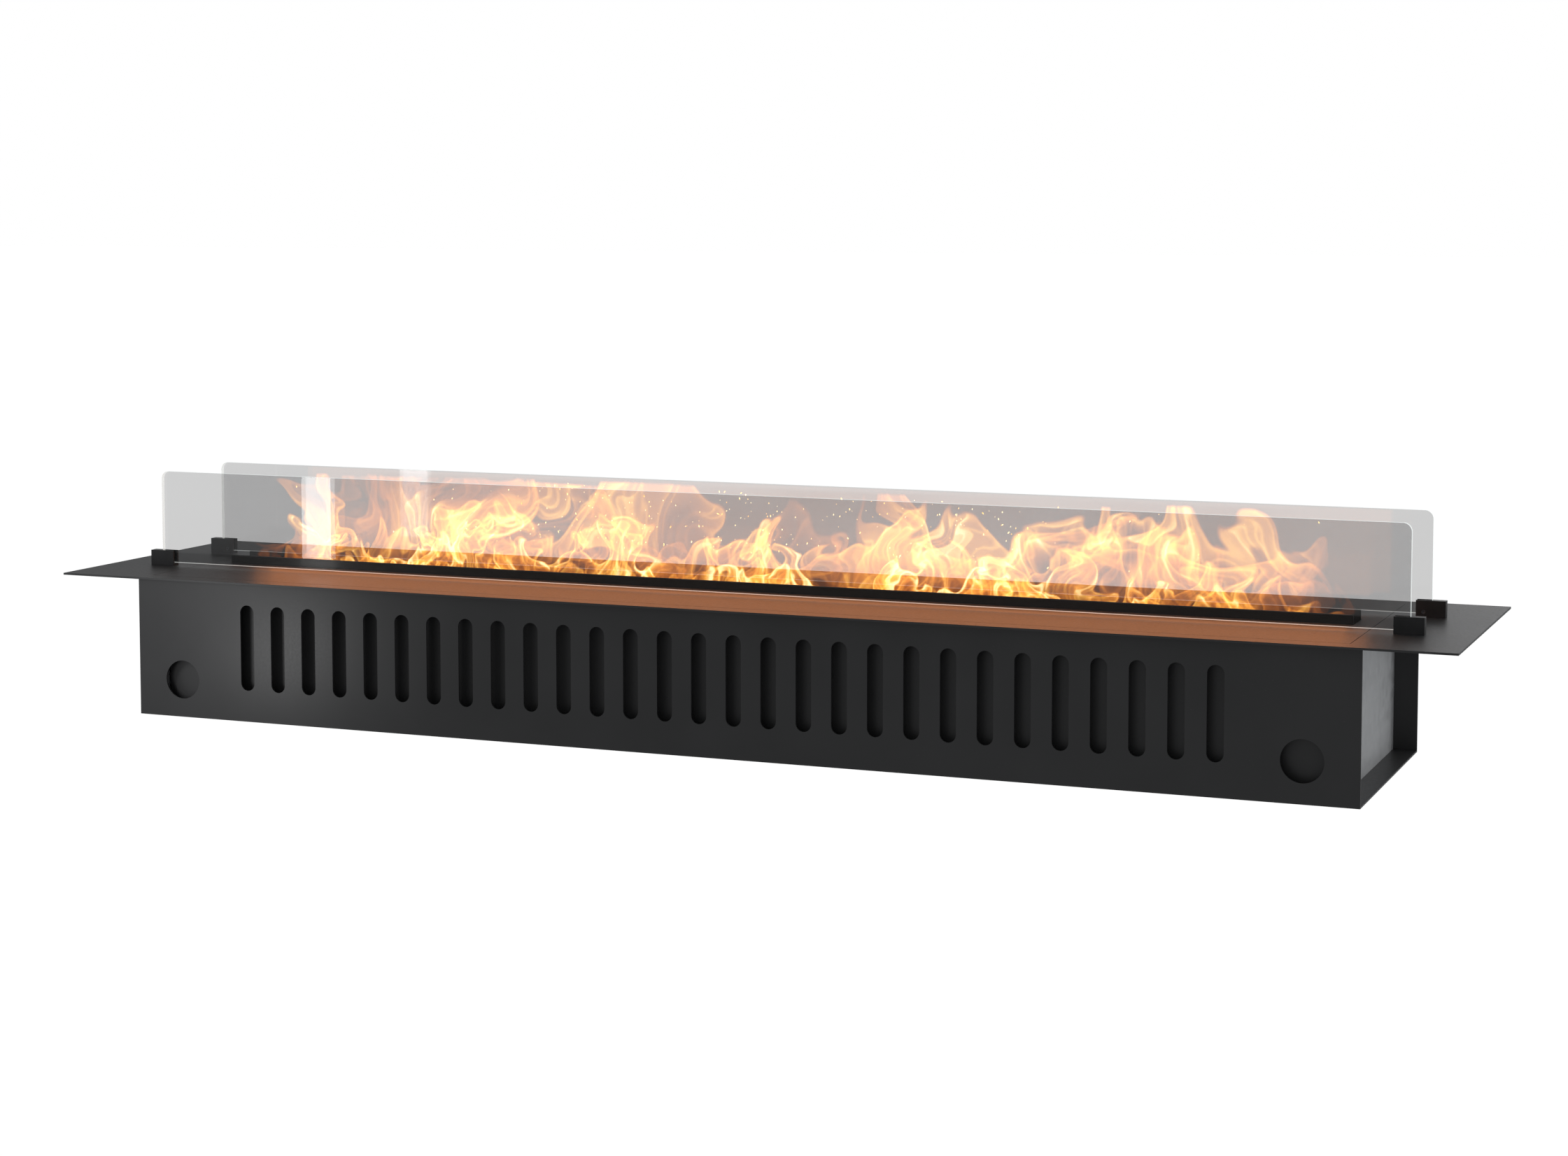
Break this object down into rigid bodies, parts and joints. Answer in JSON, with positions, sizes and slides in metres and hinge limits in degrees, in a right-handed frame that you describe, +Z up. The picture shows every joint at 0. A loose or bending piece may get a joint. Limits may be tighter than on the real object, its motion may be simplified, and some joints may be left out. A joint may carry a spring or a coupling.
{
  "type": "electric fireplace insert",
  "caption": "Long built-in mist-flame fireplace insert: vented sheet-metal casing, wide top flange, flush cover with a flame channel and two standing glass panes.",
  "frame": {"origin": "centre of the casing's underside", "axes": "+X along the casing to the right, +Y from the vented front panel to the rear, +Z up"},
  "size_m": [1.814, 0.39, 0.309],
  "materials": {
    "black_coated_steel": "satin powder coat",
    "galvanised_steel": "matte zinc",
    "clear_glass": "polished, toughened",
    "black_anodised": "satin black anodised",
    "steel_screw": "black oxide",
    "black_plastic": "moulded",
    "rotor_plastic": "moulded",
    "gloss_black": "polished",
    "white_plastic": "moulded",
    "stainless": "brushed",
    "brass": "machined",
    "led_board": "white solder mask",
    "led_phosphor": "warm phosphor",
    "green_board": "green solder mask",
    "component_black": "moulded",
    "red_lever": "dipped vinyl",
    "wire_black": "sheathed",
    "wire_red": "sheathed"
  },
  "bodies": {
    "insert": {"casing_front": "black_coated_steel", "casing_floor": "black_coated_steel", "casing_rear": "black_coated_steel", "end_plate_left": "galvanised_steel", "end_plate_right": "galvanised_steel", "top_flange": "black_coated_steel", "cover_ledges": "black_coated_steel", "cover_plate": "black_coated_steel", "holder_front_left": "black_anodised", "holder_front_right": "black_anodised", "holder_rear_left": "black_anodised", "holder_rear_right": "black_anodised", "holder_screws": "steel_screw", "front_baffle": "black_coated_steel", "tank_rails": "galvanised_steel", "water_tank": "black_plastic", "tank_lid": "black_plastic", "mist_makers": "stainless", "transducer_discs": "brass", "channel_plate_front": "black_coated_steel", "channel_plate_rear": "black_coated_steel", "channel_ends": "black_coated_steel", "led_strip_front": "led_board", "led_strip_rear": "led_board", "leds_front": "led_phosphor", "leds_rear": "led_phosphor", "fan_frame_left": "black_plastic", "fan_frame_middle": "black_plastic", "fan_frame_right": "black_plastic", "float_stem": "steel_screw", "control_box": "galvanised_steel", "control_box_lid": "galvanised_steel", "control_board": "green_board", "board_components": "component_black", "led_driver": "white_plastic", "mains_inlet": "black_plastic", "inlet_contacts": "brass", "switch_frame": "black_plastic", "button_bezels": "stainless", "water_inlet": "brass", "fill_valve": "white_plastic", "valve_coil": "rotor_plastic", "drain_tap": "brass", "mains_wiring": "wire_black", "led_wiring": "wire_red"},
    "glass_front": {"glass_front": "clear_glass"},
    "glass_rear": {"glass_rear": "clear_glass"},
    "fan_left": {"fan_rotor_left": "rotor_plastic"},
    "fan_middle": {"fan_rotor_middle": "rotor_plastic"},
    "fan_right": {"fan_rotor_right": "rotor_plastic"},
    "float": {"float_ring": "white_plastic"},
    "power_rocker": {"power_rocker": "gloss_black"},
    "mode_button": {"mode_button": "gloss_black"},
    "level_button": {"level_button": "gloss_black"},
    "drain_lever": {"drain_lever": "red_lever"}
  },
  "joints": [
    {"name": "glass_front_lift", "type": "slide", "parent": "insert", "child": "glass_front", "axis": [0, 0, 1], "range_m": [0, 0.13]},
    {"name": "glass_rear_lift", "type": "slide", "parent": "insert", "child": "glass_rear", "axis": [0, 0, 1], "range_m": [0, 0.13]},
    {"name": "fan_left_spin", "type": "hinge", "parent": "insert", "child": "fan_left", "pos_m": [-0.46, 0.078, 0.1], "axis": [0, 0, 1], "continuous": true},
    {"name": "fan_middle_spin", "type": "hinge", "parent": "insert", "child": "fan_middle", "pos_m": [0, 0.078, 0.1], "axis": [0, 0, 1], "continuous": true},
    {"name": "fan_right_spin", "type": "hinge", "parent": "insert", "child": "fan_right", "pos_m": [0.46, 0.078, 0.1], "axis": [0, 0, 1], "continuous": true},
    {"name": "float_rise", "type": "slide", "parent": "insert", "child": "float", "axis": [0, 0, 1], "range_m": [0, 0.025]},
    {"name": "power_rocker_tilt", "type": "hinge", "parent": "insert", "child": "power_rocker", "pos_m": [-0.771, -0.11, 0.112], "axis": [0, 1, 0], "range_deg": [0, 14]},
    {"name": "mode_button_press", "type": "slide", "parent": "insert", "child": "mode_button", "axis": [1, 0, 0], "range_m": [0, 0.0015], "stiffness_N_per_m": 400, "springref_m": -0.001},
    {"name": "level_button_press", "type": "slide", "parent": "insert", "child": "level_button", "axis": [1, 0, 0], "range_m": [0, 0.0015], "stiffness_N_per_m": 400, "springref_m": -0.001},
    {"name": "drain_lever_turn", "type": "hinge", "parent": "insert", "child": "drain_lever", "pos_m": [-0.771, 0.104, 0.062], "axis": [-1, 0, 0], "range_deg": [0, 90]}
  ]
}
